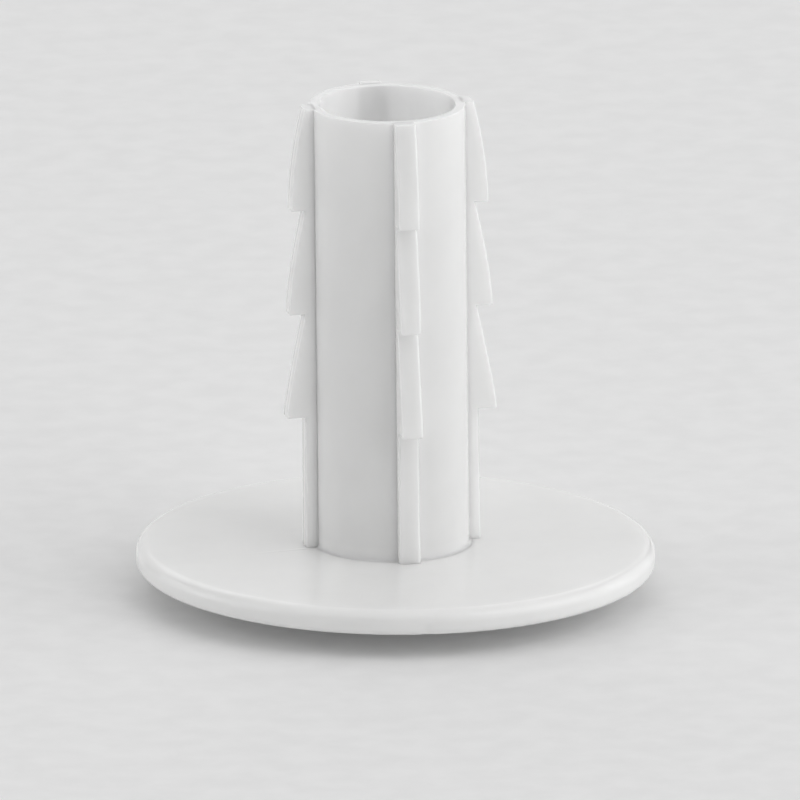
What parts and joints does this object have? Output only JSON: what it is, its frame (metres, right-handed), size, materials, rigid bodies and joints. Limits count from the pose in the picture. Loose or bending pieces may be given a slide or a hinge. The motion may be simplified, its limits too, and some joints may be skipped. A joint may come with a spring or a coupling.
{
  "type": "wall anchor",
  "caption": "Push-in wall anchor: a hollow round sleeve with barbed ribs along it, standing on a wide round flange with a domed outer face.",
  "frame": {"origin": "on the sleeve's axis, at the level of the flat ring round the mouth of the bore, on which the anchor stands", "axes": "+Z along the sleeve, the way it is pushed into the wall; -Y towards rib_front and +X towards rib_right"},
  "size_m": [0.032, 0.032, 0.0311],
  "materials": {
    "white_plastic": "satin, as moulded"
  },
  "bodies": {
    "root": {"flange": "white_plastic", "barrel": "white_plastic", "rib_front": "white_plastic", "rib_right": "white_plastic", "rib_back": "white_plastic", "rib_left": "white_plastic"}
  },
  "joints": []
}
